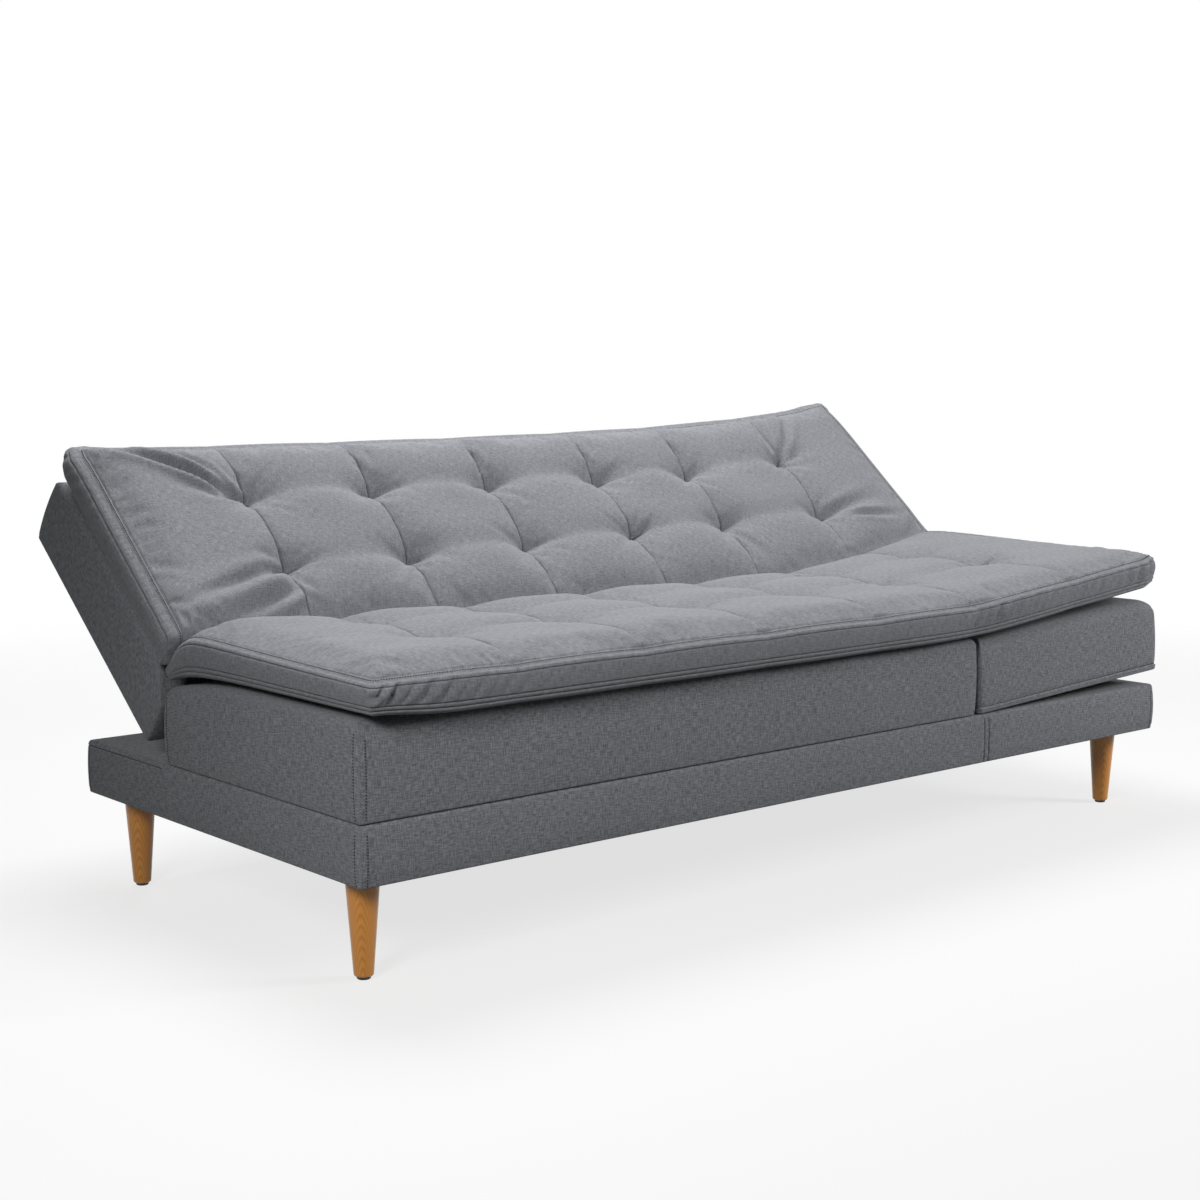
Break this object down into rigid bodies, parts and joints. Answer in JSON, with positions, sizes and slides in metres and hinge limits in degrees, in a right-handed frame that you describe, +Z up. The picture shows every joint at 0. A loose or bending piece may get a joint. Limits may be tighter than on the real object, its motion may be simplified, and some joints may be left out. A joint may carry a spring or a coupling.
{
  "type": "sofa bed",
  "caption": "Click-clack sofa bed: padded base on tapered wooden legs, fixed seat, lifting seat end, reclining back and a tufted grey topper pad over both.",
  "frame": {"origin": "on the floor, under the middle of the sofa's overall box", "axes": "+X along the seat towards the lifting end, +Y from the seat's front to the back, +Z up"},
  "size_m": [1.8224, 0.9939, 0.7468],
  "materials": {
    "topper_fabric": "heathered grey linen weave, tufted",
    "cover_fabric": "heathered grey linen weave",
    "lining_cloth": "black non-woven dust cloth",
    "foam": "cut polyurethane foam",
    "webbing": "woven elastic webbing",
    "timber": "sawn softwood",
    "board": "plywood",
    "leg_wood": "honey-brown lacquered hardwood",
    "glide_plastic": "black moulded",
    "hinge_steel": "zinc plated"
  },
  "bodies": {
    "base": {"base_cover": "cover_fabric", "base_lining": "lining_cloth", "base_deck": "board", "base_front_rail": "timber", "base_rear_rail": "timber", "base_cross_rails": "timber", "corner_blocks": "timber", "leg_bolts": "hinge_steel", "leg_front_left": "leg_wood", "leg_front_right": "leg_wood", "leg_rear_left": "leg_wood", "leg_rear_right": "leg_wood", "glide_front_left": "glide_plastic", "glide_front_right": "glide_plastic", "glide_rear_left": "glide_plastic", "glide_rear_right": "glide_plastic", "seat_cover": "cover_fabric", "seat_foam": "foam", "seat_webbing": "webbing", "seat_front_rail": "timber", "seat_rear_rail": "timber", "seat_cross_rails": "timber", "seat_hinge_block": "timber", "seat_pad": "topper_fabric", "seat_arm_front": "hinge_steel", "seat_arm_rear": "hinge_steel", "seat_arm_screws": "hinge_steel", "end_hinge_pins": "hinge_steel", "seat_bracket_left": "hinge_steel", "seat_bracket_right": "hinge_steel", "seat_bracket_bolts": "hinge_steel", "back_hinge_pins": "hinge_steel"},
    "end_section": {"end_cover": "cover_fabric", "end_lining": "lining_cloth", "end_foam": "foam", "end_webbing": "webbing", "end_front_rail": "timber", "end_rear_rail": "timber", "end_cross_rails": "timber", "end_hinge_block": "timber", "end_pad": "topper_fabric", "end_arm_front": "hinge_steel", "end_arm_rear": "hinge_steel", "end_ratchets": "hinge_steel", "end_arm_screws": "hinge_steel"},
    "backrest": {"back_cover": "cover_fabric", "back_rear_cloth": "cover_fabric", "back_foam": "foam", "back_webbing": "webbing", "back_top_rail": "timber", "back_bottom_rail": "timber", "back_stiles": "timber", "back_arm_left": "hinge_steel", "back_arm_right": "hinge_steel", "back_ratchets": "hinge_steel", "back_arm_screws": "hinge_steel", "back_pad": "topper_fabric", "pad_fold": "topper_fabric"}
  },
  "joints": [
    {"name": "back_recline", "type": "hinge", "parent": "base", "child": "backrest", "pos_m": [0, 0.08344, 0.317], "axis": [1, 0, 0], "range_deg": [-38.5, 22], "deforming": ["pad_fold"]},
    {"name": "end_tilt", "type": "hinge", "parent": "base", "child": "end_section", "pos_m": [0.3755, 0, 0.358], "axis": [0, -1, 0], "range_deg": [-2.9, 22.1]}
  ]
}
